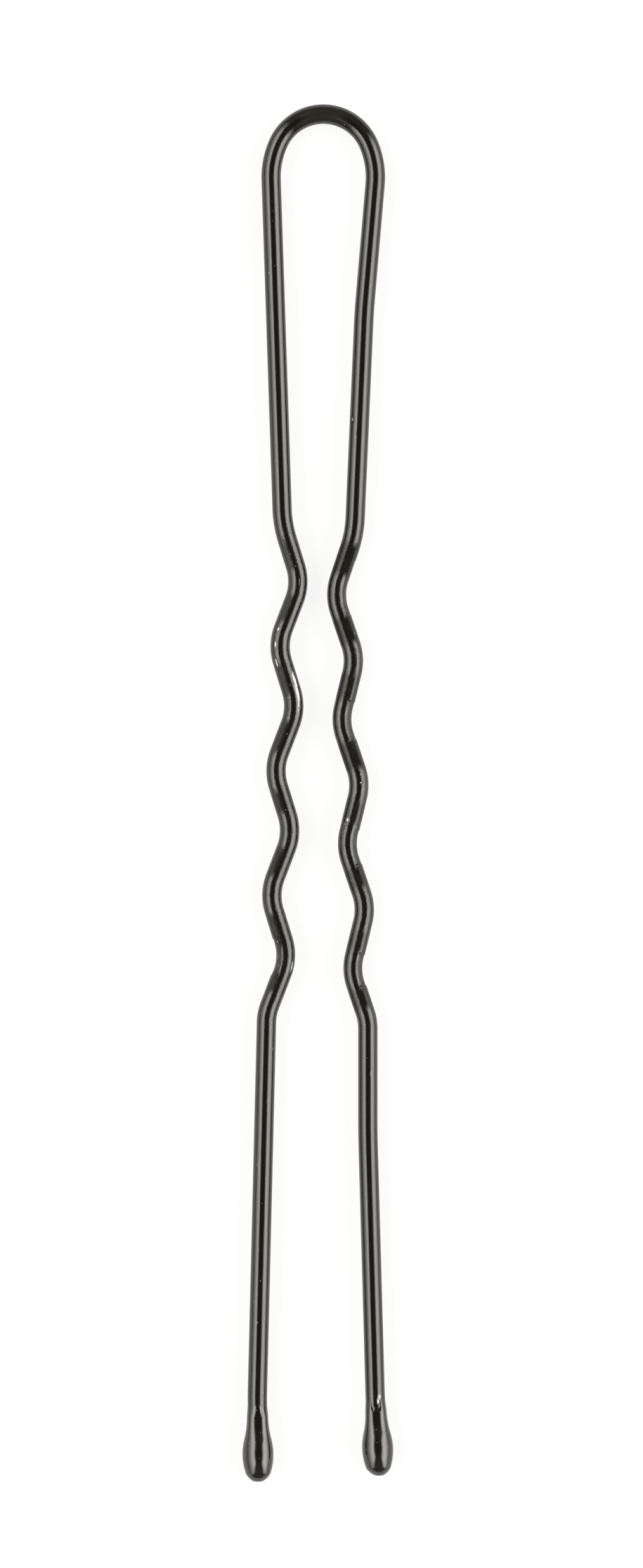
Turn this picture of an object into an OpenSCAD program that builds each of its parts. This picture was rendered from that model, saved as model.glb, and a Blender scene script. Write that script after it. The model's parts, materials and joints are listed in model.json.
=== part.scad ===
// Crimped U-shaped hairpin: one spring-steel wire bent over into a rounded bow with two
// legs, a thin black lacquer film over all of it, and a drop of resin on each cut end.
// The pin lies flat: its length runs along Y with the bow at +Y, and it rests on Z = 0.
// The wire is cut into a bow and two legs where the real wire bends most when it is
// spread, so that each leg can swing about that line.

/* [Wire] */
// Diameter of the bare steel wire
steel_d = 0.9; // [0.7:0.05:1.1]
// Thickness of the lacquer film all round the steel
lacquer_t = 0.05; // [0.03:0.01:0.1]
// Length of the whole pin, from the top of the bow to the end of the left tip
pin_l = 70; // [64:1:85]
// How much shorter the right leg is than the left
right_short = 0.3; // [0:0.1:1]

/* [Bow] */
// Half the width of the bow at its widest line, to the middle of the wire
bow_half_w = 2.65; // [2.6:0.05:3.2]
// Height of the bow above its widest line, to the middle of the wire
bow_h = 3.2; // [3:0.1:4]
// Bend radius of the crown, to the middle of the wire
crown_r = 2.5; // [2.2:0.05:2.55]
// Lean of the left side towards the right one below the widest line, in degrees
left_bow_lean = 1.9; // [1:0.1:4]
// Lean of the right side towards the left one below the widest line, in degrees
right_bow_lean = 4.9; // [2:0.1:5.5]

/* [Flex line] */
// Straight wire from the bow's bend down to the line where a leg flexes
flex_drop = 6.5; // [4:0.1:8]
// How far the rounded end of each leg stands out past the side of the wire
knuckle_over = 0.05; // [0.03:0.01:0.1]
// Gap between the rounded end of a leg and the hollow end of the bow
flex_clear = 0.03; // [0.02:0.01:0.06]

/* [Crimps] */
// Number of inward crimps on each leg
crimp_count = 4; // [3:1:5]
// Distance from one inward crimp to the next
crimp_pitch = 6.33; // [6.2:0.01:6.8]
// Bend radius of the crimps, to the middle of the wire
crimp_bend_r = 2.6; // [2:0.1:2.8]
// Bend radius of the wider bend that leads into the crimps
entry_bend_r = 6; // [2.6:0.1:8]
// Depth of the left leg's crimps, from inner to outer peak
left_crimp_deep = 0.79; // [0.6:0.01:0.82]
// Depth of the right leg's crimps, from inner to outer peak
right_crimp_deep = 0.7; // [0.6:0.01:0.82]

/* [Left leg] */
// Straight wire from the flex line to the first crimp
left_shank_l = 10.2; // [9:0.05:12]
// Lean of the shank towards the other leg, in degrees
left_shank_lean = 1.9; // [1:0.1:2.5]
// Length of the first flank
left_entry_l = 1.45; // [1:0.05:2.4]
// Extra steepness of the first flank, in degrees
left_entry_steep = 0; // [0:0.5:3]
// Lean of the row of crimps away from the other leg, in degrees
left_crimp_lean = 1.9; // [1:0.1:4]
// Length of the last flank
left_exit_l = 1.75; // [1:0.05:2.2]
// Lean of the lower leg away from the other leg below the crimps, in degrees
left_lower_lean = 1.4; // [0:0.1:3]
// Length of the lower leg before its gentle bend
left_lower_l = 4.45; // [2:0.05:8]
// Lean of the leg away from the other one below that bend, in degrees
left_tip_lean = 1.4; // [1:0.1:3]
// Turn of the wire's end towards the other leg, in degrees
left_end_turn = 2; // [-3:0.5:3]

/* [Right leg] */
// Straight wire from the flex line to the first crimp
right_shank_l = 10.45; // [9:0.05:12]
// Lean of the shank towards the other leg, in degrees
right_shank_lean = 2.5; // [1:0.1:3]
// Length of the first flank
right_entry_l = 1.55; // [1:0.05:2.4]
// Extra steepness of the first flank, in degrees
right_entry_steep = 5; // [0:0.5:6]
// Lean of the row of crimps away from the other leg, in degrees
right_crimp_lean = 2.5; // [1.5:0.1:4]
// Length of the last flank
right_exit_l = 1.5; // [1:0.05:2.2]
// Lean of the lower leg away from the other leg below the crimps, in degrees
right_lower_lean = 0; // [0:0.1:3]
// Length of the lower leg before its gentle bend
right_lower_l = 4.45; // [2:0.05:8]
// Lean of the leg away from the other one below that bend, in degrees
right_tip_lean = 1.6; // [1:0.1:3]
// Turn of the wire's end towards the other leg, in degrees
right_end_turn = -1; // [-3:0.5:3]
// Bend radius of the gentle bend in a lower leg
lower_bend_r = 60; // [20:5:100]
// Bend radius of the small turn just above the resin
end_bend_r = 15; // [8:1:30]

/* [Tips] */
// Diameter of the resin drop at its fullest
drop_d = 1.6; // [1.4:0.05:2]
// Distance from the end of the drop up to its fullest line
drop_belly_up = 1.4; // [1.2:0.05:1.6]
// Radius of the drop's side, seen from the front
drop_side_r = 3; // [2.5:0.1:3.5]
// Distance from the end of the drop up to where its neck begins
drop_neck_up = 3.3; // [3.1:0.05:3.8]
// Thickness of the resin at the neck
drop_neck_t = 0.05; // [0.03:0.01:0.1]
// Distance from the end of the drop up to where the resin runs out on the wire
drop_l = 4.1; // [3.9:0.05:5]
// Thickness of the resin where it runs out
drop_edge_t = 0.02; // [0.01:0.005:0.03]
// Resin below the cut end of the wire
drop_cover = 1; // [0.6:0.05:1.3]

/* [Hidden] */

// Facets of a round wire
wire_fn = 48;
// Points along each arc of the drop's outline
drop_arc_points = 8;
// The straights run this far into the bends, which are drawn this much slimmer, so that
// the two make one clean solid
bend_lap = 0.1;
bend_slim = 0.005;
// The steel's room in the film runs this far past the film's ends
film_open = 0.2;

steel_r = steel_d / 2;
wire_r = steel_r + lacquer_t;
knuckle_r = wire_r + knuckle_over;
// A leg's wire is drawn this far above its flex line before its end is rounded
knuckle_stock = 2 * knuckle_r;

// The bow is a crown arc between two side arcs that it meets smoothly
crown_up = bow_h - crown_r;
side_r = (pow(bow_half_w, 2) + pow(crown_up, 2) - pow(crown_r, 2)) / (2 * (bow_half_w - crown_r));
crown_from = atan2(crown_up, side_r - bow_half_w);

// A place on the wire is [x, y, heading]: heading 0 runs along +Y, and turns are to the left
function ahead(place, run) =
    [place[0] - run * sin(place[2]), place[1] + run * cos(place[2]), place[2]];
function around(place, turn, bend) =
    let (side = sign(turn), inward = side * bend * (1 - cos(turn)), along = side * bend * sin(turn))
    [
        place[0] - inward * cos(place[2]) - along * sin(place[2]),
        place[1] - inward * sin(place[2]) + along * cos(place[2]),
        place[2] + turn,
    ];
// The place at the end of a route of [straight run, turn, bend radius] steps
function follow(place, route, k = 0) =
    k == len(route) ? place
    : follow(around(ahead(place, route[k][0]), route[k][1], route[k][2]), route, k + 1);

// Both legs are laid out as a left leg, and the right one is mirrored
function flex_place(bow_lean) =
    ahead(around([-bow_half_w, 0, 180], bow_lean, side_r), flex_drop);
// A crimp's flanks stand this far off the row's line, and are this long
function crimp_angle(deep) =
    let (half = crimp_pitch / 2, across = 2 * crimp_bend_r - deep)
    asin(2 * crimp_bend_r / norm([half, across])) - atan2(across, half);
function flank_l(deep) =
    sqrt(pow(crimp_pitch / 2, 2) + pow(2 * crimp_bend_r - deep, 2) - pow(2 * crimp_bend_r, 2));

// The route of a leg down to the start of its last straight
function leg_route(shank_l, shank_lean, entry_l, entry_steep, deep, crimp_lean, exit_l,
        lower_lean, lower_l, tip_lean) =
    let (angle = crimp_angle(deep), flank = flank_l(deep))
    concat(
        [[shank_l, angle + entry_steep - crimp_lean - shank_lean, entry_bend_r]],
        [[entry_l, -2 * angle - entry_steep, crimp_bend_r]],
        [for (k = [2 : crimp_count], way = [1, -1]) [flank, way * 2 * angle, crimp_bend_r]],
        [[exit_l, angle + crimp_lean - lower_lean, crimp_bend_r]],
        [[lower_l, lower_lean - tip_lean, lower_bend_r]]
    );
// Just above the resin the wire turns a little, and then it runs straight to where it is
// cut, drop_cover above the end of the drop
function with_tip(start, route, end_turn, short) =
    let (
        place = follow(start, route),
        tip = [[0, end_turn, end_bend_r], [drop_l - drop_cover, 0, 0]],
        cut_y = bow_h + wire_r - pin_l + short + drop_cover,
        run = (follow(place, tip)[1] - cut_y) / -cos(place[2])
    )
    concat(route, [[run, end_turn, end_bend_r], tip[1]]);

left_flex = flex_place(left_bow_lean);
left_start = [left_flex[0], left_flex[1], 180 + left_shank_lean];
left_route = with_tip(left_start, leg_route(left_shank_l, left_shank_lean, left_entry_l,
    left_entry_steep, left_crimp_deep, left_crimp_lean, left_exit_l, left_lower_lean,
    left_lower_l, left_tip_lean), left_end_turn, 0);
left_end = follow(left_start, left_route);

right_flex = flex_place(right_bow_lean);
right_start = [right_flex[0], right_flex[1], 180 + right_shank_lean];
right_route = with_tip(right_start, leg_route(right_shank_l, right_shank_lean, right_entry_l,
    right_entry_steep, right_crimp_deep, right_crimp_lean, right_exit_l, right_lower_lean,
    right_lower_l, right_tip_lean), right_end_turn, right_short);
right_end = follow(right_start, right_route);

// The bow's wire, from the left flex line over the crown to the right one
bow_start = [left_flex[0], left_flex[1], left_bow_lean];
bow_route = [
    [flex_drop, -left_bow_lean - crown_from, side_r],
    [0, 2 * crown_from - 180, crown_r],
    [0, -crown_from - right_bow_lean, side_r],
    [flex_drop, 0, 0],
];

// The origin is under the middle of the pin's outline
left_belly = ahead(left_end, drop_cover - drop_belly_up);
right_belly = ahead(right_end, drop_cover - drop_belly_up);
middle_x = (left_belly[0] - right_belly[0]) / 2;
middle_y = bow_h + wire_r - pin_l / 2;

module on_table() translate([-middle_x, -middle_y, drop_d / 2]) children();
module at(place) translate([place[0], place[1], 0]) rotate([0, 0, place[2]]) children();
module mirrored() mirror([1, 0, 0]) children();

// A solid round wire that starts at the origin along +Y and follows a route
module round_wire(route, radius, k = 0) {
    run = route[k][0];
    turn = route[k][1];
    bend = route[k][2];
    lap_before = k == 0 ? 0 : bend_lap;
    lap_after = k + 1 == len(route) ? 0 : bend_lap;
    translate([0, -lap_before, 0]) rotate([-90, 0, 0])
        cylinder(h = run + lap_before + lap_after, r = radius, $fn = wire_fn);
    if (k + 1 < len(route)) translate([0, run, 0]) {
        side = sign(turn);
        if (turn != 0)
            translate([-side * bend, 0, 0]) rotate([0, 0, side > 0 ? 0 : 180 + turn])
                rotate_extrude(angle = abs(turn), $fn = 4 * wire_fn)
                    translate([bend, 0]) circle(r = radius - bend_slim, $fn = wire_fn);
        at(around([0, 0, 0], turn, bend)) round_wire(route, radius, k + 1);
    }
}
// The same wire with its first straight begun earlier and its last one ended later
module longer_wire(route, radius, before, after) {
    last = len(route) - 1;
    longer = [for (k = [0 : last])
        [route[k][0] + (k == 0 ? before : 0) + (k == last ? after : 0), route[k][1], route[k][2]]];
    translate([0, -before, 0]) round_wire(longer, radius);
}
// The lacquer film: a sleeve round the steel, open at both ends
module film(route, before) difference() {
    longer_wire(route, wire_r, before, 0);
    longer_wire(route, steel_r, before + film_open, film_open);
}

// What is cut from a leg above the flex line, so that it ends in a rounded knuckle
module above_knuckle() difference() {
    translate([-2 * wire_r, -4 * wire_r, -2 * wire_r]) cube(4 * wire_r);
    cylinder(h = 5 * wire_r, r = knuckle_r, center = true, $fn = wire_fn);
}
// What is cut from an end of the bow, so that it is hollow round that knuckle
module knuckle_room()
    cylinder(h = 4 * wire_r, r = knuckle_r + flex_clear, center = true, $fn = wire_fn);

// The outline of a resin drop: nose, belly and neck arcs that meet smoothly, then a thin
// edge up the wire, with a socket that fits the lacquered wire
function arc_points(centre, radius, from, to) =
    [for (k = [0 : drop_arc_points])
        let (angle = from + (to - from) * k / drop_arc_points)
        centre + radius * [cos(angle), sin(angle)]];
module drop_outline() {
    full_r = drop_d / 2;
    neck_r = wire_r + drop_neck_t;
    belly_in = drop_side_r - full_r;
    nose_r = (pow(drop_side_r, 2) - pow(belly_in, 2) - pow(drop_belly_up, 2))
        / (2 * (drop_side_r - drop_belly_up));
    neck_rise = drop_neck_up - drop_belly_up;
    neck_bend_r = (pow(belly_in + neck_r, 2) + pow(neck_rise, 2) - pow(drop_side_r, 2))
        / (2 * (full_r - neck_r));
    nose_to = atan2(nose_r - drop_belly_up, belly_in);
    belly_to = atan2(neck_rise, belly_in + neck_r + neck_bend_r);
    polygon(concat(
        arc_points([0, nose_r], nose_r, -90, nose_to),
        arc_points([-belly_in, drop_belly_up], drop_side_r, nose_to, belly_to),
        arc_points([neck_r + neck_bend_r, drop_neck_up], neck_bend_r, 180 + belly_to, 180),
        [[wire_r + drop_edge_t, drop_l], [wire_r, drop_l], [wire_r, drop_cover], [0, drop_cover]]
    ));
}
// A drop on the end of a wire that runs along +Y and is cut at the origin
module drop() translate([0, drop_cover, 0]) rotate([90, 0, 0])
    rotate_extrude($fn = wire_fn) drop_outline();

module bow_shape() difference() {
    at(bow_start) children();
    at(left_flex) knuckle_room();
    mirrored() at(right_flex) knuckle_room();
}
module leg_shape() difference() {
    children();
    above_knuckle();
}

module bow_wire() color("silver") on_table()
    bow_shape() round_wire(bow_route, steel_r);
module bow_lacquer() color([0.06, 0.055, 0.05]) on_table()
    bow_shape() film(bow_route, 0);
module left_leg_wire() color("silver") on_table() at(left_start)
    leg_shape() longer_wire(left_route, steel_r, knuckle_stock, 0);
module left_leg_lacquer() color([0.06, 0.055, 0.05]) on_table() at(left_start)
    leg_shape() film(left_route, knuckle_stock);
module left_tip() color([0.1, 0.095, 0.09]) on_table() at(left_end) drop();
module right_leg_wire() color("silver") on_table() mirrored() at(right_start)
    leg_shape() longer_wire(right_route, steel_r, knuckle_stock, 0);
module right_leg_lacquer() color([0.06, 0.055, 0.05]) on_table() mirrored() at(right_start)
    leg_shape() film(right_route, knuckle_stock);
module right_tip() color([0.1, 0.095, 0.09]) on_table() mirrored() at(right_end) drop();

bow_wire();
bow_lacquer();
left_leg_wire();
left_leg_lacquer();
left_tip();
right_leg_wire();
right_leg_lacquer();
right_tip();
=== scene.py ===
"""The looks of a crimped hairpin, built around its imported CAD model.

Lengths are in metres, in the CAD frame: the pin lies flat with its bow towards +Y and rests on Z = 0.
The lacquered wire is swept along the same route of straights and bends as the CAD's wire, then marked by
the crimping die and by wear. Each resin drop is turned about the end of its leg.
"""

import json
import math

import bmesh
import bpy
import numpy as np
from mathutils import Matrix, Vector


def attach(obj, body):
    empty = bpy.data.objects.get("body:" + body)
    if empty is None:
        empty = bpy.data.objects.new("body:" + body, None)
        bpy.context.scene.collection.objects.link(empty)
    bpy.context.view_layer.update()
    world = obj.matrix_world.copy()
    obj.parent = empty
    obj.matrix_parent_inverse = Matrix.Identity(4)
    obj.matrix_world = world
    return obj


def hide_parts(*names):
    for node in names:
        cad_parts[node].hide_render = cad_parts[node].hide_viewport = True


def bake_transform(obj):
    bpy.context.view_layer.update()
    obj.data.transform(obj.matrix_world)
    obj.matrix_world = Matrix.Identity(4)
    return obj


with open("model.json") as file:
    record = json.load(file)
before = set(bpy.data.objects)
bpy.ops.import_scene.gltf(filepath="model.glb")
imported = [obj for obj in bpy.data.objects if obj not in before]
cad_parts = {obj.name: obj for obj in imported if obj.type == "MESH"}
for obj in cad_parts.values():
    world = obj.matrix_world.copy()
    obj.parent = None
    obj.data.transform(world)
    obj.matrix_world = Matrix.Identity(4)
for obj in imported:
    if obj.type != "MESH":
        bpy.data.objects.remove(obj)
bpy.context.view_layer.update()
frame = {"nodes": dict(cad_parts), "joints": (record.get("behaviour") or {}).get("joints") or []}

MM = 0.001

# The wire
STEEL_D = 0.9 * MM
LACQUER_T = 0.05 * MM
WIRE_R = STEEL_D / 2 + LACQUER_T
PIN_L = 70 * MM

# The bow, to the middle of the wire
BOW_HALF_W = 2.65 * MM
BOW_H = 3.2 * MM
CROWN_R = 2.5 * MM
FLEX_DROP = 6.5 * MM

# The crimps and the legs, to the middle of the wire
CRIMPS = 4
CRIMP_PITCH = 6.33 * MM
CRIMP_BEND_R = 2.6 * MM
ENTRY_BEND_R = 6 * MM
LOWER_BEND_R = 60 * MM
END_BEND_R = 15 * MM
FLEX_BEND_R = 30 * MM
LEGS = {
    "left": dict(
        bow_lean=1.9, shank_l=10.2 * MM, shank_lean=1.9, entry_l=1.45 * MM, entry_steep=0,
        crimp_deep=0.79 * MM, crimp_lean=1.9, exit_l=1.75 * MM, lower_lean=1.4, lower_l=4.45 * MM,
        tip_lean=1.4, end_turn=2, short=0,
    ),
    "right": dict(
        bow_lean=4.9, shank_l=10.45 * MM, shank_lean=2.5, entry_l=1.55 * MM, entry_steep=5,
        crimp_deep=0.7 * MM, crimp_lean=2.5, exit_l=1.5 * MM, lower_lean=0, lower_l=4.45 * MM,
        tip_lean=1.6, end_turn=-1, short=0.3 * MM,
    ),
}

# The resin drops
DROP_D = 1.6 * MM
DROP_BELLY_UP = 1.4 * MM
DROP_SIDE_R = 3 * MM
DROP_NECK_UP = 3.3 * MM
DROP_NECK_T = 0.05 * MM
DROP_L = 4.1 * MM
DROP_COVER = 1 * MM

# Where the film is cut between the bow and a leg, and a reach each side of the flex line whose ends are
# worked out but not used
SEAM_ABOVE_FLEX = 4.5 * MM
BLEND_REACH = 3 * MM

# The lacquer, the resin, the steel and what lies in them
LACQUER_IOR = 1.62
DULL_LACQUER_IOR = 1.12
RESIN_IOR = 1.7
LACQUER_BLACK = (0.0062, 0.0048, 0.0033, 1)
BARE_STEEL = (0.5, 0.5, 0.5, 1)
WIRE_STEEL = (0.45, 0.45, 0.46, 1)
DUST = (0.3, 0.28, 0.24, 1)

# How uneven the lacquer and the resin are, as heights
WAVE_H = 0.008 * MM
PEEL_H = 0.002 * MM
LINES_H = 0.0011 * MM
GRAIN_H = 0.0006 * MM
WORN_GRAIN_H = 0.008 * MM
PITS_H = 0.002 * MM
WORN_PITS_H = 0.016 * MM
RIPPLE_H = 0.002 * MM
RESIN_GRAIN_H = 0.0005 * MM

# Fineness of the swept wire
ROUTE_STEP = 0.02 * MM
RING_GAP = 0.08 * MM
CRIMP_RING_GAP = 0.03 * MM
CRIMPS_FROM = 22.5 * MM
CRIMPS_TO = 48.8 * MM
WIRE_SIDES = 72

# The photograph's frame
PHOTO_W = 915
PHOTO_H = 2231
PHOTO_MM_PER_PX = 0.0357143
CROWN_PX = 460
WIDEST_PY = 252
CAMERA_UP = 0.5
SENSOR = 36
NEAREST_SEEN = 0.01
FARTHEST_SEEN = 20

# The floor: half its side, how white it glows and how much light it scatters
FLOOR_HALF = 5
FLOOR_GLOW = 0.88
FLOOR_MATT = 0.12

# A Mix node's colour sockets: the first colour, the second and the result
MIX_FIRST = 6
MIX_SECOND = 7
MIX_RESULT = 2

# The last node of a material
SURFACE = "ShaderNodeOutputMaterial"


class Value:
    """A socket in a node tree. Arithmetic on it adds Math nodes."""

    def __init__(self, tree, socket):
        self.tree = tree
        self.socket = socket

    def __add__(self, other):
        return self.tree.math("ADD", self, other)

    def __radd__(self, other):
        return self.tree.math("ADD", other, self)

    def __sub__(self, other):
        return self.tree.math("SUBTRACT", self, other)

    def __rsub__(self, other):
        return self.tree.math("SUBTRACT", other, self)

    def __mul__(self, other):
        return self.tree.math("MULTIPLY", self, other)

    def __rmul__(self, other):
        return self.tree.math("MULTIPLY", other, self)

    def __truediv__(self, other):
        return self.tree.math("DIVIDE", self, other)

    def __rtruediv__(self, other):
        return self.tree.math("DIVIDE", other, self)


class Tree:
    """A node tree that is written as Python expressions."""

    def __init__(self, nodes):
        self.nodes = nodes

    def node(self, kind, settings=None, sockets=None, out=0):
        """Adds a node, its settings first and then its sockets, and gives the outputs asked for."""
        made = self.nodes.nodes.new(kind)
        for name, setting in (settings or {}).items():
            if name == "stops":
                set_stops(made.color_ramp, setting)
            else:
                setattr(made, name, setting)
        for name, given in (sockets or {}).items():
            if isinstance(given, Value):
                self.nodes.links.new(given.socket, made.inputs[name])
            else:
                made.inputs[name].default_value = given
        if out is None:
            return made
        if isinstance(out, (list, tuple)):
            return [Value(self, made.outputs[name]) for name in out]
        return Value(self, made.outputs[out])

    def math(self, operation, *values):
        return self.node("ShaderNodeMath", {"operation": operation}, dict(enumerate(values)))

    def mix(self, share, first, second):
        """A colour between two."""
        given = {"Factor": share, MIX_FIRST: first, MIX_SECOND: second}
        return self.node("ShaderNodeMix", {"data_type": "RGBA"}, given, out=MIX_RESULT)

    def smooth(self, value, low, high):
        """0 below low, 1 above high, and a smooth rise between them."""
        limits = {"Value": value, "From Min": low, "From Max": high}
        return self.node("ShaderNodeMapRange", {"interpolation_type": "SMOOTHSTEP"}, limits)

    def noise(self, place, scale, detail):
        return self.node("ShaderNodeTexNoise", {}, {"Vector": place, "Scale": scale, "Detail": detail})

    def bump(self, height):
        return self.node("ShaderNodeBump", {}, {"Height": height, "Distance": 1.0, "Strength": 1.0})

    def output(self, kind, surface):
        self.node(kind, {}, {"Surface": surface}, out=None)


def set_stops(ramp, stops):
    """Gives a colour ramp its stops, each a place from 0 to 1 and a grey or a colour."""
    while len(ramp.elements) < len(stops):
        ramp.elements.new(1)
    for element, (place, shade) in zip(ramp.elements, stops):
        element.position = place
        element.color = (shade, shade, shade, 1) if np.isscalar(shade) else (*shade, 1)


# The route of the wire: a place is x, y and a heading in degrees, 0 along +Y and growing to the left


def ahead(place, run):
    """The place after a straight run."""
    x, y, heading = place
    turned = math.radians(heading)
    return x - run * math.sin(turned), y + run * math.cos(turned), heading


def around(place, turn, bend):
    """The place after a turn on a bend of some radius."""
    x, y, heading = place
    side = math.copysign(bend, turn)
    before = math.radians(heading)
    after = math.radians(heading + turn)
    return (
        x + side * (math.cos(after) - math.cos(before)),
        y + side * (math.sin(after) - math.sin(before)),
        heading + turn,
    )


def walk(place, route):
    """The places along a route of (straight run, turn, bend radius) steps."""
    places = [place]
    for run, turn, bend in route:
        for part, move, whole in ((run, ahead, run), (abs(math.radians(turn)) * bend, around, turn)):
            start = places[-1]
            count = math.ceil(part / ROUTE_STEP - 0.01)
            for k in range(1, count + 1):
                share = whole * k / count
                places.append(move(start, share) if move is ahead else move(start, share, bend))
    return places


def side_arc():
    """Radius of the bow's side arcs, and the angle above the widest line where the crown arc begins."""
    crown_up = BOW_H - CROWN_R
    radius = (BOW_HALF_W**2 + crown_up**2 - CROWN_R**2) / (2 * (BOW_HALF_W - CROWN_R))
    return radius, math.degrees(math.atan2(crown_up, radius - BOW_HALF_W))


def crimp_flank(deep):
    """The angle between a crimp's flank and its row, and the length of the flank's straight."""
    half = CRIMP_PITCH / 2
    across = 2 * CRIMP_BEND_R - deep
    tilt = math.asin(2 * CRIMP_BEND_R / math.hypot(half, across)) - math.atan2(across, half)
    return math.degrees(tilt), math.sqrt(half**2 + across**2 - (2 * CRIMP_BEND_R) ** 2)


def bow_route(leg):
    """From the top of the crown down one side to just above the flex line, whose small kink is eased."""
    radius, crown_from = side_arc()
    ease = FLEX_BEND_R * math.tan(math.radians(abs(leg["shank_lean"] - leg["bow_lean"])) / 2)
    return [
        (0, 90 - crown_from, CROWN_R),
        (0, crown_from + leg["bow_lean"], radius),
        (FLEX_DROP - ease, leg["shank_lean"] - leg["bow_lean"], FLEX_BEND_R),
    ], ease


def leg_route(leg, ease):
    """From the eased flex line down to the start of the last straight."""
    angle, flank = crimp_flank(leg["crimp_deep"])
    steep = leg["entry_steep"]
    route = [
        (leg["shank_l"] - ease, angle + steep - leg["crimp_lean"] - leg["shank_lean"], ENTRY_BEND_R),
        (leg["entry_l"], -2 * angle - steep, CRIMP_BEND_R),
    ]
    for _ in range(CRIMPS - 1):
        route += [(flank, 2 * angle, CRIMP_BEND_R), (flank, -2 * angle, CRIMP_BEND_R)]
    route.append((leg["exit_l"], angle + leg["crimp_lean"] - leg["lower_lean"], CRIMP_BEND_R))
    route.append((leg["lower_l"], leg["lower_lean"] - leg["tip_lean"], LOWER_BEND_R))
    return route


def half_wire(leg):
    """The places from the top of the crown down to the wire's cut end, laid out as the left side."""
    bow, ease = bow_route(leg)
    start = (0, BOW_H, 90)
    route = bow + leg_route(leg, ease)
    turn = leg["end_turn"]
    place = walk(start, route)[-1]
    tip = ahead(around(place, turn, END_BEND_R), DROP_L - DROP_COVER)
    cut_y = BOW_H + WIRE_R - PIN_L + leg["short"] + DROP_COVER
    last = (tip[1] - cut_y) / -math.cos(math.radians(place[2]))
    return walk(start, route + [(last, turn, END_BEND_R), (DROP_L - DROP_COVER, 0, 0)])


def joint(name):
    return next(made for made in frame["joints"] if made["name"] == name)


class Wire:
    """The middle line of the whole wire, from the left leg's cut end over the crown to the right leg's."""

    def __init__(self):
        left, right = (half_wire(LEGS[side]) for side in ("left", "right"))
        flex = joint("left_leg_flex")["pos_m"]
        radius, _ = side_arc()
        bend_end = around((-BOW_HALF_W, 0, 180), LEGS["left"]["bow_lean"], radius)
        self.shift = np.array(flex[:2]) - ahead(bend_end, FLEX_DROP)[:2]
        self.height = flex[2]
        points = [(x, y) for x, y, _ in reversed(left)] + [(-x, y) for x, y, _ in right[1:]]
        self.points = np.array(points) + self.shift
        gaps = np.linalg.norm(np.diff(self.points, axis=0), axis=1)
        self.along = np.concatenate([[0], np.cumsum(gaps)])
        self.crown = self.along[len(left) - 1]
        self.length = self.along[-1]
        forwards = np.gradient(self.points, self.along, axis=0)
        forwards /= np.linalg.norm(forwards, axis=1)[:, None]
        self.outwards = np.stack([-forwards[:, 1], forwards[:, 0]], axis=1)

    def at(self, side, from_crown):
        """How far along the wire a place is that lies this far from the crown, on the left or right side."""
        return self.crown + (from_crown if side == "right" else -from_crown)

    def middle(self, along):
        return np.stack([np.interp(along, self.along, self.points[:, k]) for k in (0, 1)], axis=1)

    def outward(self, along):
        """The sideways direction that points out of the pin."""
        across = np.stack([np.interp(along, self.along, self.outwards[:, k]) for k in (0, 1)], axis=1)
        return across / np.linalg.norm(across, axis=1)[:, None]

    def flex(self, side):
        """How far along the wire a leg's flex line is."""
        place = np.array(joint(side + "_leg_flex")["pos_m"][:2])
        return self.along[np.argmin(np.linalg.norm(self.points - place, axis=1))]


wire = Wire()


def wire_tree():
    """Geometry Nodes that sweep a round wire along a route."""
    group = bpy.data.node_groups.new("swept_wire", "GeometryNodeTree")
    inputs = {
        "Route": "NodeSocketGeometry", "Diameter": "NodeSocketFloat", "Sides": "NodeSocketInt",
        "Finish": "NodeSocketMaterial",
    }
    for name, kind in inputs.items():
        group.interface.new_socket(name, in_out="INPUT", socket_type=kind)
    group.interface.new_socket("Wire", in_out="OUTPUT", socket_type="NodeSocketGeometry")
    tree = Tree(group)
    route, diameter, sides, finish = tree.node("NodeGroupInput", out=list(inputs))
    line = tree.node("GeometryNodeMeshToCurve", {}, {"Mesh": route})
    line = tree.node("GeometryNodeSetCurveNormal", {"mode": "Z_UP"}, {"Curve": line})
    ring = tree.node(
        "GeometryNodeCurvePrimitiveCircle", {"mode": "RADIUS"},
        {"Resolution": sides, "Radius": diameter * 0.5},
    )
    swept = tree.node(
        "GeometryNodeCurveToMesh", {}, {"Curve": line, "Profile Curve": ring, "Fill Caps": True}
    )
    swept = tree.node("GeometryNodeRealizeInstances", {}, {"Geometry": swept})
    swept = tree.node("GeometryNodeSetMaterial", {}, {"Geometry": swept, "Material": finish})
    tree.node("NodeGroupOutput", {}, {"Wire": swept}, out=None)
    return group


def new_object(name, mesh):
    made = bpy.data.objects.new(name, mesh)
    bpy.context.scene.collection.objects.link(made)
    return made


def plain_mesh(name, source):
    """A plain mesh object of what a modifier makes, in place of the object that carried it."""
    graph = bpy.context.evaluated_depsgraph_get()
    mesh = bpy.data.meshes.new_from_object(source.evaluated_get(graph))
    mesh.name = name
    bpy.data.objects.remove(source)
    return new_object(name, mesh)


def ring_places(start, end):
    """Where the rings of a swept piece lie along the wire: closer together on the crimps."""
    places = [start]
    while places[-1] < end:
        from_crown = abs(places[-1] - wire.crown)
        gap = CRIMP_RING_GAP if CRIMPS_FROM < from_crown < CRIMPS_TO else RING_GAP
        places.append(min(places[-1] + gap, end))
    return np.array(places)


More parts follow.
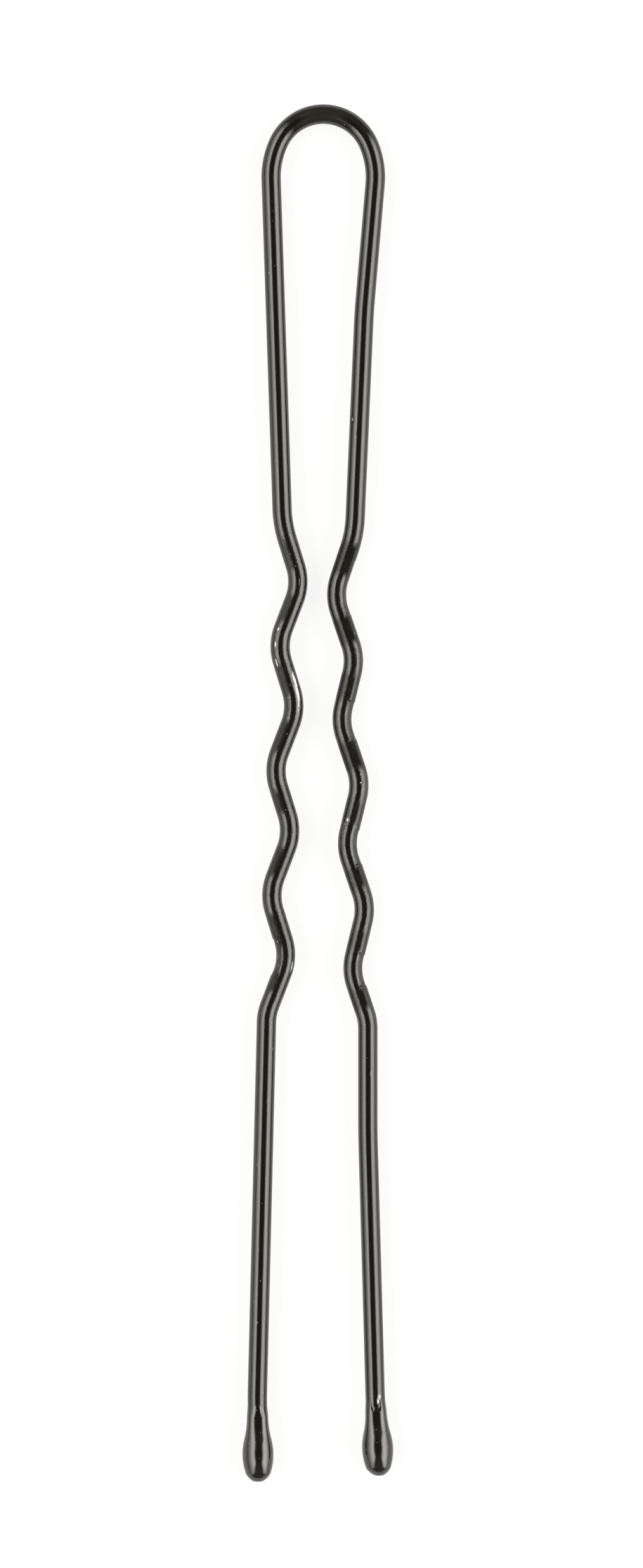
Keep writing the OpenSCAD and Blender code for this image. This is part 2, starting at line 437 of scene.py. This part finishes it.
def swept_wire(name, tree, start, end, finish):
    """A round wire along the route between two distances, each point marked with how far along it lies."""
    along = ring_places(start, end)
    route = bpy.data.meshes.new("route")
    points = [(x, y, wire.height) for x, y in wire.middle(along)]
    route.from_pydata(points, [(k, k + 1) for k in range(len(points) - 1)], [])
    route.attributes.new("along", "FLOAT", "POINT").data.foreach_set("value", along)
    carrier = new_object("route", route)
    modifier = carrier.modifiers.new("swept_wire", "NODES")
    modifier.node_group = tree
    given = {"Diameter": 2 * WIRE_R, "Sides": WIRE_SIDES, "Finish": finish}
    for socket in tree.interface.items_tree:
        if socket.name in given:
            modifier[socket.identifier] = given[socket.name]
    return plain_mesh(name, carrier)


# The marks on the film start with a side, mm from the crown, and degrees from the top towards the outside

# Short grooves across the wire where the edges of the die's teeth bit: from angle, to angle, depth, width
NICKS = [
    ("right", 24.08, 26, 70, 0.03, 0.09),
    ("right", 24.4, 30, 60, 0.012, 0.07),
    ("right", 27.27, 22, 78, 0.035, 0.1),
    ("right", 31.57, 12, 66, 0.04, 0.12),
    ("right", 33.76, 2, 72, 0.035, 0.1),
    ("right", 38.02, 20, 72, 0.02, 0.08),
    ("right", 38.22, 24, 72, 0.015, 0.07),
    ("right", 40.17, 16, 66, 0.025, 0.08),
    ("right", 40.34, 16, 66, 0.03, 0.08),
    ("right", 41.66, -6, 22, 0.012, 0.06),
    ("right", 44.75, 22, 78, 0.04, 0.12),
    ("right", 46.53, 14, 62, 0.03, 0.1),
    ("right", 46.68, 18, 52, 0.015, 0.08),
    ("right", 51.02, 17, 60, 0.035, 0.12),
    ("right", 17.7, -19, 3, 0.02, 0.08),
    ("left", 39.45, 0, 62, 0.02, 0.07),
    ("left", 39.62, 16, 62, 0.015, 0.07),
    ("left", 44.0, 20, 60, 0.03, 0.1),
    ("left", 46.08, 16, 58, 0.035, 0.1),
    ("left", 46.3, 22, 62, 0.025, 0.08),
    ("left", 52.52, -26, -16, 0.015, 0.08),
]
NICK_SIDE = 6

# Where the lacquer is chipped or rubbed through: angle, length, width, depth, how bare
CHIPS = [
    ("right", 17.02, -46, 0.2, 0.13, 0.035, 0.9),
    ("right", 16.93, -52, 0.12, 0.08, 0.03, 0.7),
    ("right", 18.15, -15, 0.06, 0.06, 0.01, 0.7),
    ("right", 35.9, 16, 0.09, 0.12, 0.03, 0.9),
    ("right", 36.2, 24, 0.05, 0.05, 0.01, 0.7),
    ("right", 35.6, 30, 0.06, 0.05, 0.01, 0.6),
    ("right", 37.86, -26, 0.24, 0.13, 0.035, 1),
    ("right", 38.12, -37, 0.12, 0.08, 0.03, 0.8),
    ("right", 38.3, -40, 0.1, 0.06, 0.02, 0.6),
    ("right", 38.5, -42, 0.3, 0.08, 0.01, 0.65),
    ("right", 26.3, 30, 0.5, 0.05, 0.008, 0.55),
    ("right", 29.3, 32, 0.3, 0.05, 0.008, 0.5),
    ("right", 67.44, 26, 0.26, 0.11, 0.02, 1),
    ("right", 67.66, 17, 0.34, 0.12, 0.02, 1),
    ("left", 9.56, 28, 0.09, 0.09, 0.02, 1),
    ("left", 12.2, 0, 0.05, 0.05, 0.01, 0.6),
    ("left", 25.3, -10, 0.5, 0.03, 0.01, 0.75),
    ("left", 27.93, 28, 0.22, 0.1, 0.02, 0.95),
    ("left", 28.66, 28, 0.4, 0.08, 0.02, 0.95),
    ("left", 29.52, 38, 0.6, 0.085, 0.025, 1),
    ("left", 30.62, -39, 1.1, 0.2, 0.02, 1),
    ("left", 31.15, -34, 1.4, 0.2, 0.015, 0.9),
    ("left", 31.9, -29, 0.9, 0.1, 0.01, 0.65),
    ("left", 32.7, -50, 0.1, 0.05, 0.02, 0.7),
    ("left", 42.6, -17, 0.3, 0.06, 0.008, 0.55),
    ("left", 44.2, 42, 0.16, 0.07, 0.03, 0.85),
    ("left", 45.1, 44, 0.4, 0.05, 0.01, 0.6),
    ("left", 45.6, 40, 0.2, 0.06, 0.015, 0.65),
    ("left", 45.5, -54, 0.6, 0.14, 0.03, 1),
]
CHIP_FULL = 0.3
CHIP_GONE = 1.4

# Hollows that the die's teeth pressed beside the inner peaks: from, to, from angle, depth
HOLLOWS = [
    ("right", 24.1, 27.25, 38, 0.016),
    ("right", 31.57, 33.76, 28, 0.026),
    ("right", 38.26, 40.25, 28, 0.026),
    ("right", 44.78, 46.6, 28, 0.028),
    ("left", 44.02, 46.2, 26, 0.028),
]
HOLLOW_TO = 118
HOLLOW_END = 0.1 * MM
HOLLOW_SIDE = 22

# Where the die's jaws have dulled the lacquer: from, to, up to what angle, how much outside and inside
DULLED = [
    ("left", 23.0, 24.7, 26, 0.75, 0),
    ("left", 26.1, 27.5, 30, 0.8, 0.05),
    ("left", 29.6, 31.3, 28, 0.8, 0.05),
    ("left", 32.7, 34.4, 29, 0.92, 0.1),
    ("left", 36.3, 37.5, 28, 0.9, 0.1),
    ("left", 39.4, 40.9, 31, 0.92, 0.1),
    ("left", 42.8, 44.6, 29, 0.9, 0.1),
    ("left", 46.0, 47.0, 30, 0.88, 0.1),
    ("right", 23.3, 25.0, 40, 1, 0.5),
    ("right", 27.2, 28.6, 40, 1, 0.5),
    ("right", 30.2, 31.6, 27, 1, 0.45),
    ("right", 33.7, 35.2, 42, 1, 0.5),
    ("right", 36.8, 38.0, 24, 1, 0.25),
    ("right", 40.3, 41.4, 34, 1, 0.4),
    ("right", 43.6, 44.7, 23, 1, 0.2),
    ("right", 46.6, 47.7, 32, 1, 0.35),
]
DULL_EDGE = 0.5 * MM
DULL_OUTSIDE = (0, 10)
DULL_INSIDE = (-2, 15)
DULL_LEFT_PAST_REACH = 0.15

# Where the jaws have rubbed the lacquer rough: from, to, from angle, to angle
RUBBED = [
    ("right", 25.7, 27.2, 12, 50),
    ("right", 28.9, 31.4, 16, 50),
    ("right", 35.2, 37.1, 10, 52),
    ("right", 41.6, 43.3, 12, 46),
    ("left", 31.4, 32.5, 12, 30),
    ("left", 44.2, 46.0, 14, 56),
    ("right", 31.6, 33.7, 22, 80),
    ("right", 38.3, 40.2, 24, 80),
    ("right", 44.8, 46.5, 24, 80),
    ("right", 38.0, 39.3, -50, -10),
]
RUBBED_END = 0.3 * MM
RUBBED_SIDE = 8

# How rubbed the crimps are all round, and over what length that sets in
CRIMPS_RUBBED = 0.4
CRIMPS_EDGE = 1 * MM

# How far from the crown the bending tool has hazed the lacquer, and over what length the haze fades
HAZED_TO = 1.3 * MM
HAZED_EDGE = 1 * MM

# Dust and grit caught in the lacquer: angle, size
SPECKS = [
    ("right", 7.05, 4, 0.07),
    ("right", 28.2, 45, 0.08),
    ("right", 35.5, 14, 0.06),
    ("left", 23.85, 8, 0.06),
    ("left", 49.88, -45, 0.06),
    ("left", 55.8, 40, 0.06),
    ("left", 60.15, 11, 0.06),
    ("left", 63.8, 9, 0.07),
]
SPECK_H = 0.01 * MM
SPECK_GONE = 1.5

# The least film that any mark leaves over the steel
FILM_LEFT = 0.004 * MM


def rise(value, low, high):
    """0 below low, 1 above high, and a smooth rise between them."""
    share = np.clip((value - low) / (high - low), 0, 1)
    return share * share * (3 - 2 * share)


def window(value, low, high, edge):
    """1 between low and high and 0 away from them, with soft edges centred on both."""
    return rise(value, low - edge / 2, low + edge / 2) * (1 - rise(value, high - edge / 2, high + edge / 2))


class Film:
    """The points of a swept piece: where each lies on the wire, and what the marks do to it."""

    def __init__(self, mesh):
        count = len(mesh.vertices)
        place = np.empty(3 * count)
        mesh.vertices.foreach_get("co", place)
        self.place = place.reshape(-1, 3)
        self.along = np.empty(count)
        mesh.attributes["along"].data.foreach_get("value", self.along)
        self.middle = wire.middle(self.along)
        self.outward = wire.outward(self.along)
        across = np.sum((self.place[:, :2] - self.middle) * self.outward, axis=1)
        self.angle = np.arctan2(across, self.place[:, 2] - wire.height)
        self.degrees = np.degrees(self.angle)
        self.radius = np.full(count, WIRE_R)
        self.marks = {name: np.zeros(count) for name in ("bare", "pressed", "rubbed", "hazed", "speck")}

    def mark(self, name, share):
        """Marks each point with the stronger of what it has and a new share."""
        self.marks[name] = np.maximum(self.marks[name], share)

    def near(self, side, from_crown, at_angle):
        """How far each point is from a mark, along the wire and round it."""
        along_it = self.along - wire.at(side, from_crown * MM)
        return along_it, WIRE_R * (self.angle - math.radians(at_angle))

    def between(self, side, first, last, edge):
        """1 between two distances from the crown and 0 away from them."""
        ends = sorted((wire.at(side, first * MM), wire.at(side, last * MM)))
        return window(self.along, *ends, edge)


def bite_nicks(film):
    for side, from_crown, first, last, depth, width in NICKS:
        near = film.along - wire.at(side, from_crown * MM)
        within = np.clip(1 - np.abs(near) / (width / 2 * MM), 0, 1)
        centre = math.radians((first + last) / 2)
        reach = math.radians((last - first) / 2)
        across_it = np.clip((reach - np.abs(film.angle - centre)) / math.radians(NICK_SIDE), 0, 1)
        film.radius -= depth * MM * within * across_it


def chip_off(film):
    for side, from_crown, at_angle, length, width, depth, how_bare in CHIPS:
        near, round_it = film.near(side, from_crown, at_angle)
        far = np.hypot(near / (length / 2 * MM), round_it / (width / 2 * MM))
        share = 1 - rise(far, CHIP_FULL, CHIP_GONE)
        film.radius -= depth * MM * share
        film.mark("bare", how_bare * share)


def press_hollows(film):
    for side, first, last, low, depth in HOLLOWS:
        here = film.between(side, first, last, HOLLOW_END)
        film.radius -= depth * MM * here * window(film.degrees, low, HOLLOW_TO, HOLLOW_SIDE)


def catch_specks(film):
    for side, from_crown, at_angle, size in SPECKS:
        near, round_it = film.near(side, from_crown, at_angle)
        share = np.clip(SPECK_GONE - np.hypot(near, round_it) / (size / 2 * MM), 0, 1)
        film.radius += SPECK_H * share
        film.mark("speck", share)


def dull_jaws(film):
    """Dulls the lacquer where the jaws pressed, up to some angle outside and all round inside."""
    for side, first, last, reach, outer, inner in DULLED:
        here = film.between(side, first, last, DULL_EDGE)
        past_reach = rise(film.degrees, reach - 7, reach + 9)
        outer_share = rise(film.degrees, *DULL_OUTSIDE) * (1 - (1 - DULL_LEFT_PAST_REACH) * past_reach)
        inner_share = rise(-film.degrees, *DULL_INSIDE)
        film.mark("pressed", here * np.maximum(outer * outer_share, inner * inner_share))


def rub_crimps(film):
    for side, first, last, low, high in RUBBED:
        here = film.between(side, first, last, RUBBED_END)
        film.mark("rubbed", here * window(film.degrees, low, high, RUBBED_SIDE))
    crimped = window(np.abs(film.along - wire.crown), CRIMPS_FROM, CRIMPS_TO, CRIMPS_EDGE)
    film.mark("rubbed", CRIMPS_RUBBED * crimped)


def haze_crown(film):
    from_crown = np.abs(film.along - wire.crown)
    film.mark("hazed", 1 - rise(from_crown, HAZED_TO - HAZED_EDGE / 2, HAZED_TO + HAZED_EDGE / 2))


def mark_film(piece):
    """Presses the die's and the wear's marks into a swept piece and stores what the lacquer reads."""
    mesh = piece.data
    film = Film(mesh)
    for work in (bite_nicks, chip_off, press_hollows, catch_specks, dull_jaws, rub_crimps, haze_crown):
        work(film)
    radius = np.maximum(film.radius, STEEL_D / 2 + FILM_LEFT)
    film.place[:, :2] = film.middle + film.outward * (radius * np.sin(film.angle))[:, None]
    film.place[:, 2] = wire.height + radius * np.cos(film.angle)
    mesh.vertices.foreach_set("co", film.place.ravel())
    unbent = np.stack([WIRE_R * np.sin(film.angle), WIRE_R * np.cos(film.angle), film.along], axis=1)
    mesh.attributes.new("unbent", "FLOAT_VECTOR", "POINT").data.foreach_set("vector", unbent.ravel())
    for name, share in film.marks.items():
        mesh.attributes.new(name, "FLOAT", "POINT").data.foreach_set("value", share)
    mesh.update()
    return piece


def drop_profile():
    """A drop's outline as radius and height above its end, from the pole to where the resin runs out."""
    full_r = DROP_D / 2
    neck_r = WIRE_R + DROP_NECK_T
    belly_in = DROP_SIDE_R - full_r
    nose_r = (DROP_SIDE_R**2 - belly_in**2 - DROP_BELLY_UP**2) / (2 * (DROP_SIDE_R - DROP_BELLY_UP))
    neck_rise = DROP_NECK_UP - DROP_BELLY_UP
    neck_bend_r = ((belly_in + neck_r) ** 2 + neck_rise**2 - DROP_SIDE_R**2) / (2 * (full_r - neck_r))
    nose_to = math.atan2(nose_r - DROP_BELLY_UP, belly_in)
    belly_to = math.atan2(neck_rise, belly_in + neck_r + neck_bend_r)

    def arc(centre, radius, start, end, count):
        turn = np.linspace(start, end, count)
        return [(centre[0] + radius * math.cos(a), centre[1] + radius * math.sin(a)) for a in turn]

    nose = arc((0, nose_r), nose_r, -math.pi / 2, nose_to, 20)
    belly = arc((-belly_in, DROP_BELLY_UP), DROP_SIDE_R, nose_to, belly_to, 40)
    neck = arc((neck_r + neck_bend_r, DROP_NECK_UP), neck_bend_r, math.pi + belly_to, math.pi, 24)
    return nose + belly[1:] + neck[1:]


def eased_profile():
    """The same outline with its changes of curve eased, as a liquid's are."""
    outline = np.array(drop_profile())
    height = np.arange(0.25 * MM, DROP_NECK_UP, EASE_STEP)
    radius = np.interp(height, outline[:, 1], outline[:, 0])
    away = (height[:, None] - height[None, :]) / DROP_EASE
    weight = np.exp(-away * away / 2)
    eased = weight @ radius / weight.sum(axis=1)
    share = np.minimum(rise(height, *EASE_FROM), 1 - rise(height, *EASE_UNTIL))
    return list(zip(radius + (eased - radius) * share, height)) + [tuple(outline[-1])]


# The blunt end of a drop: radius and height above its end
DROP_END = [
    (0.08, 0), (0.17, 0.008), (0.235, 0.022), (0.29, 0.044), (0.345, 0.08), (0.395, 0.118), (0.437, 0.154),
    (0.474, 0.19), (0.507, 0.226), (0.537, 0.262), (0.563, 0.3),
]
DROP_END_JOINS_UP = 0.324 * MM

# Over what height a drop's outline is eased, its steps there, and where the easing sets in and ends
DROP_EASE = 0.14 * MM
EASE_STEP = 0.03 * MM
EASE_FROM = (0.3 * MM, 0.7 * MM)
EASE_UNTIL = (2.9 * MM, 3.2 * MM)

# How each drop sits: how far its ridge leans towards +X, how much its end slopes, and the gap in its edge
DROPS = {
    "left": dict(ridge=0.03, slope=0.02, gap=(40, 0.1)),
    "right": dict(ridge=0, slope=-0.05, gap=(2, 0.42)),
}
SLOPE_TO_UP = 0.4 * MM
RIDGE_TO_UP = 4.4 * MM
RIDGE_FADE = 1.1 * MM

# How square a drop's neck is, and the heights between which it gets so
DROP_SQUARE = 0.06
SQUARE_FROM_UP = 1.6 * MM
SQUARE_TO_UP = 2.8 * MM

# The thin edge of the resin: how high and how ragged it is, its gap in degrees, and how it ends in the film
DROP_EDGE_UP = 3.8 * MM
DROP_EDGE_RAGGED = 0.22 * MM
DROP_GAP_HALF = 25
DROP_GAP_SIDE = 7
DROP_EDGE_SUNK = 0.003 * MM
DROP_TUCKED_IN = 0.015 * MM
DROP_TUCKED_UP = 0.03 * MM

# Fineness of a drop, and how many points of the wire's route give its direction
DROP_SIDES = 96
DROP_EDGE_RINGS = 14
TIP_STEPS = 20


def drop_edge(turn, gap):
    """How high up the wire the resin runs on each side: a wavering line with one gap in it."""
    waver = math.sin(3 * turn + 0.6) + 0.7 * math.sin(7 * turn + 2.1) + 0.5 * math.sin(17 * turn + 4)
    at_angle, deep = gap
    away = (math.degrees(turn) - at_angle + 180) % 360 - 180
    inside = rise(DROP_GAP_HALF - abs(away), -DROP_GAP_SIDE, DROP_GAP_SIDE)
    return DROP_EDGE_UP + DROP_EDGE_RAGGED * (0.5 + waver / 4.4) - deep * MM * inside


def drop_outline_point(row, turn, body, gap):
    """Radius and height of a drop's point: on its body, on its thin edge, or tucked into the film."""
    if row < len(body):
        return body[row]
    share = (row - len(body) + 1) / DROP_EDGE_RINGS
    up = DROP_NECK_UP + (drop_edge(turn, gap) - DROP_NECK_UP) * min(share, 1)
    if share > 1:
        return WIRE_R - DROP_TUCKED_IN, up + DROP_TUCKED_UP
    return WIRE_R + DROP_NECK_T - (DROP_NECK_T + DROP_EDGE_SUNK) * share, up


def drop_point(row, turn, body, sits):
    """Where a drop's point is: towards +X, up the leg from the drop's end, and above the leg's middle."""
    radius, up = drop_outline_point(row, turn, body, sits["gap"])
    thick = min(1, max(0, (radius - WIRE_R) / DROP_NECK_T))
    square = DROP_SQUARE * thick * rise(up, SQUARE_FROM_UP, SQUARE_TO_UP)
    radius *= 1 + square * math.sin(2 * turn) ** 2
    ridge = sits["ridge"] * min(1, max(0, (RIDGE_TO_UP - up) / RIDGE_FADE))
    across = radius * (math.sin(turn) + ridge * math.cos(turn)) / math.hypot(1, ridge)
    slope = sits["slope"] * max(0, 1 - up / SLOPE_TO_UP)
    up += slope * (across + math.copysign(radius, slope))
    return across, up, radius * math.cos(turn)


def closed_rings(name, rings, finish):
    """An object of rings of places that follow one another, joined by faces and closed at both ends."""
    mesh = bmesh.new()
    rows = [[mesh.verts.new(place) for place in ring] for ring in rings]
    for lower, upper in zip(rows, rows[1:]):
        for k in range(len(lower)):
            after = (k + 1) % len(lower)
            mesh.faces.new((lower[k], lower[after], upper[after], upper[k]))
    for ring in (rows[0], rows[-1]):
        middle = mesh.verts.new(sum((vert.co for vert in ring), Vector()) / len(ring))
        for k in range(len(ring)):
            mesh.faces.new((ring[k], ring[(k + 1) % len(ring)], middle))
    bmesh.ops.recalc_face_normals(mesh, faces=mesh.faces)
    data = bpy.data.meshes.new(name)
    mesh.to_mesh(data)
    mesh.free()
    data.materials.append(finish)
    data.shade_smooth()
    return new_object(name, data)


def resin_drop(name, side, finish):
    """A drop of resin on the end of a leg, which thins to a ragged edge on the wire."""
    end, inwards = (0, TIP_STEPS) if side == "left" else (-1, -1 - TIP_STEPS)
    up = Vector((*(wire.points[inwards] - wire.points[end]), 0)).normalized()
    across = Vector((up.y, -up.x, 0))
    above = Vector((0, 0, 1))
    tip = Vector((*wire.points[end], wire.height)) - up * DROP_COVER
    body = [(radius * MM, height * MM) for radius, height in DROP_END]
    body += [(radius, height) for radius, height in eased_profile() if height > DROP_END_JOINS_UP]
    rings = []
    for row in range(len(body) + DROP_EDGE_RINGS + 1):
        turns = [2 * math.pi * k / DROP_SIDES for k in range(DROP_SIDES)]
        points = [drop_point(row, turn, body, DROPS[side]) for turn in turns]
        rings.append([tip + across * x + up * y + above * z for x, y, z in points])
    return closed_rings(name, rings, finish)


def new_finish(name):
    """A new material with an empty node tree."""
    made = bpy.data.materials.new(name)
    made.use_nodes = True
    made.node_tree.nodes.clear()
    return made, Tree(made.node_tree)


def lacquer():
    """Black lacquer over steel: glossy, and dull where the die pressed it."""
    made, tree = new_finish("black_lacquer")
    place = tree.node("ShaderNodeAttribute", {"attribute_name": "unbent"}, out="Vector")
    bare, pressed, rubbed, hazed, speck = (
        tree.node("ShaderNodeAttribute", {"attribute_name": name}, out="Fac")
        for name in ("bare", "pressed", "rubbed", "hazed", "speck")
    )
    drawn = tree.node("ShaderNodeMapping", {}, {"Vector": place, "Scale": (1, 1, 0.04)})
    lines = tree.noise(drawn, 9000, 3)
    wave = tree.noise(place, 650, 1)
    peel = tree.noise(place, 2600, 2)
    grain = tree.noise(place, 18000, 3)
    patch = tree.noise(place, 1500, 2)
    pits = tree.noise(place, 7000, 2)
    steel = tree.smooth(bare + (grain - 0.5) * 1.1, 0.35, 0.85)
    worn = tree.math("MINIMUM", pressed + rubbed, 1)
    dust = tree.math("MAXIMUM", tree.smooth(speck, 0.5, 0.8), fallen_dust(tree, place, 0.16))
    colour = tree.mix(dust, tree.mix(steel, LACQUER_BLACK, BARE_STEEL), DUST)
    smooth_height = wave * WAVE_H + peel * PEEL_H + lines * LINES_H
    worn_height = grain * (worn * WORN_GRAIN_H + GRAIN_H) + pits * (worn * WORN_PITS_H + PITS_H)
    normal = tree.bump(smooth_height + worn_height)
    roughness = lines * 0.05 + 0.04 + steel * 0.38 + worn * 0.14 + hazed * 0.24 + dust * 0.4
    gloss = tree.node(
        "ShaderNodeBsdfPrincipled", {},
        {
            "Base Color": colour, "Metallic": steel, "Roughness": roughness, "IOR": LACQUER_IOR,
            "Normal": normal,
        },
    )
    dull = tree.node(
        "ShaderNodeBsdfPrincipled", {},
        {"Base Color": colour, "Roughness": 0.5, "IOR": DULL_LACQUER_IOR, "Normal": normal},
    )
    dulled = tree.math("MINIMUM", pressed * (0.85 + patch * 0.3), 1) * (1 - steel)
    tree.output(SURFACE, tree.node("ShaderNodeMixShader", {}, {0: dulled, 1: gloss, 2: dull}))
    return made


def fallen_dust(tree, place, share):
    """Tiny grains of dust, as a mask. More of them lie where the share is higher."""
    away, colour = tree.node(
        "ShaderNodeTexVoronoi", {}, {"Vector": place, "Scale": 3600}, out=["Distance", "Color"]
    )
    pick = tree.node("ShaderNodeSeparateColor", {}, {"Color": colour}, out="Red")
    return (1 - tree.smooth(away, 0.06, 0.12)) * tree.smooth(pick, 1 - share, 1 - share / 3) * 0.8


def resin():
    """Black resin, as glossy as the lacquer, with a little dust in it."""
    made, tree = new_finish("black_resin")
    place = tree.node("ShaderNodeTexCoord", out="Object")
    ripple = tree.noise(place, 1500, 2)
    grain = tree.noise(place, 18000, 3)
    dust = fallen_dust(tree, place, 1)
    colour = tree.mix(dust, LACQUER_BLACK, DUST)
    normal = tree.bump(ripple * RIPPLE_H + grain * RESIN_GRAIN_H)
    roughness = ripple * 0.04 + 0.03 + dust * 0.4
    gloss = tree.node(
        "ShaderNodeBsdfPrincipled", {},
        {"Base Color": colour, "Roughness": roughness, "IOR": RESIN_IOR, "Normal": normal},
    )
    tree.output(SURFACE, gloss)
    return made


def drawn_steel():
    """Spring steel with the fine lines of the drawing die along it."""
    made, tree = new_finish("spring_steel")
    place = tree.node("ShaderNodeTexCoord", out="Object")
    drawn = tree.node("ShaderNodeMapping", {}, {"Vector": place, "Scale": (1, 0.03, 1)})
    lines = tree.noise(drawn, 9000, 4)
    metal = tree.node(
        "ShaderNodeBsdfPrincipled", {},
        {"Base Color": WIRE_STEEL, "Metallic": 1, "Roughness": lines * 0.25 + 0.2},
    )
    tree.output(SURFACE, metal)
    return made


def white_floor():
    """A floor that the camera, glossy surfaces and clear ones see as white, and that still takes shadows."""
    made, tree = new_finish("white_floor")
    seen, mirrored, through = tree.node(
        "ShaderNodeLightPath", out=["Is Camera Ray", "Is Glossy Ray", "Is Transmission Ray"]
    )
    looked_at = tree.math("MINIMUM", seen + mirrored + through, 1)
    glow = tree.node("ShaderNodeEmission", {}, {"Color": (1, 1, 1, 1), "Strength": looked_at * FLOOR_GLOW})
    matt = tree.node("ShaderNodeBsdfDiffuse", {}, {"Color": (FLOOR_MATT, FLOOR_MATT, FLOOR_MATT, 1)})
    tree.output(SURFACE, tree.node("ShaderNodeAddShader", {}, {0: glow, 1: matt}))
    mesh = bpy.data.meshes.new("floor")
    corners = [(FLOOR_HALF * x, FLOOR_HALF * y, 0) for x, y in ((-1, -1), (1, -1), (1, 1), (-1, 1))]
    mesh.from_pydata(corners, [], [(0, 1, 2, 3)])
    mesh.materials.append(made)
    floor = new_object("floor", mesh)


# Each softbox: how bright it is by degrees down from straight above, and the degrees that it spans along Y
RIGHT_SOFTBOX = [
    (20, 0), (24, 0.1), (29, 0.7), (34, 2.6), (41, 5.2), (50, 6.2), (60, 5.8), (74, 3.6), (90, 0.8),
]
RIGHT_SPAN = (-38, 30)
LEFT_SOFTBOX = [
    (17, 0), (24, 0.8), (29, 3.6), (34, 5.2), (41, 5.6), (53, 3.9), (67, 2), (81, 0.85), (90, 0.4),
]
LEFT_SPAN = (-46, 46)
SPAN_EDGE = 22
SOFTBOX_WHITE = (1, 0.965, 0.885, 1)

# How bright the room is all round and overhead, and the shares of a right angle between which it changes
ROOM = 0.22
ROOM_OVERHEAD = 0.045
ROOM_FROM = 0.12
ROOM_TO = 0.4


def softbox(tree, down, along, stops, span):
    """The brightness of one softbox in a direction."""
    peak = max(strength for _, strength in stops)
    shares = [(degrees / 90, strength / peak) for degrees, strength in stops]
    fall = tree.node("ShaderNodeValToRGB", {"stops": shares}, {"Fac": tree.math("MINIMUM", down, 1)})
    start, end = (tree.smooth(along, edge - SPAN_EDGE / 2, edge + SPAN_EDGE / 2) for edge in span)
    return fall * peak * start * (1 - end)


def studio_light():
    """A softbox on each side of the pin, in a dim room."""
    world = bpy.data.worlds.new("studio")
    world.use_nodes = True
    world.node_tree.nodes.clear()
    bpy.context.scene.world = world
    tree = Tree(world.node_tree)
    way = tree.node("ShaderNodeTexCoord", out="Generated")
    x, y, z = tree.node("ShaderNodeSeparateXYZ", {}, {"Vector": way}, out=["X", "Y", "Z"])
    down = tree.math("ARCCOSINE", z) * (2 / math.pi)
    along = tree.math("ARCTAN2", y, tree.math("ABSOLUTE", x)) * (180 / math.pi)
    right = softbox(tree, down, along, RIGHT_SOFTBOX, RIGHT_SPAN)
    left = softbox(tree, down, along, LEFT_SOFTBOX, LEFT_SPAN)
    to_right = tree.smooth(x, -0.01, 0.01)
    room = tree.smooth(down, ROOM_FROM, ROOM_TO) * (ROOM - ROOM_OVERHEAD) + ROOM_OVERHEAD
    strength = tree.math("MAXIMUM", right * to_right + left * (1 - to_right), room)
    sky = tree.node("ShaderNodeBackground", {}, {"Color": SOFTBOX_WHITE, "Strength": strength})
    tree.output("ShaderNodeOutputWorld", sky)


def camera():
    """Straight above the pin, framed as the photograph is."""
    data = bpy.data.cameras.new("camera")
    made = bpy.data.objects.new("camera", data)
    bpy.context.scene.collection.objects.link(made)
    px = PHOTO_MM_PER_PX * MM
    made.location = (
        wire.shift[0] + (PHOTO_W / 2 - CROWN_PX) * px,
        wire.shift[1] + (WIDEST_PY - PHOTO_H / 2) * px,
        wire.height + CAMERA_UP,
    )
    data.sensor_width = SENSOR
    data.lens = SENSOR * CAMERA_UP / (PHOTO_H * px)
    data.clip_start = NEAREST_SEEN
    data.clip_end = FARTHEST_SEEN
    bpy.context.scene.camera = made


def dress_steel(finish):
    """The CAD's own wires, with steel on them."""
    for node in ("bow_wire", "left_leg_wire", "right_leg_wire"):
        data = frame["nodes"][node].data
        data.materials.clear()
        data.materials.append(finish)


def dress_bow(tree, start, end, finish):
    bow = mark_film(swept_wire("bow_film", tree, start, end, finish))
    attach(bow, "bow")
    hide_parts("bow_lacquer")


def dress_leg(side, tree, start, end, finish):
    """A leg's film, from its seam on the bow to its cut end."""
    leg = mark_film(swept_wire(side + "_leg_film", tree, start, end, finish))
    towards_tip = -1 if side == "left" else 1
    flex = wire.flex(side)
    limits = [wire.middle(np.array([flex + towards_tip * way * BLEND_REACH]))[0] for way in (-1, 1)]
    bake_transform(leg)
    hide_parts(side + "_leg_lacquer")


def dress_tip(side, finish):
    drop = resin_drop(side + "_drop", side, finish)
    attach(drop, side + "_leg")
    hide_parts(side + "_tip")


camera()
studio_light()
white_floor()

film_finish = lacquer()
drop_finish = resin()
dress_steel(drawn_steel())

sweep = wire_tree()
left_seam = wire.flex("left") + SEAM_ABOVE_FLEX
right_seam = wire.flex("right") - SEAM_ABOVE_FLEX
dress_bow(sweep, left_seam, right_seam, film_finish)
for side, start, end in (("left", 0, left_seam), ("right", right_seam, wire.length)):
    dress_leg(side, sweep, start, end, film_finish)
    dress_tip(side, drop_finish)

bpy.context.scene.view_settings.view_transform = "Standard"
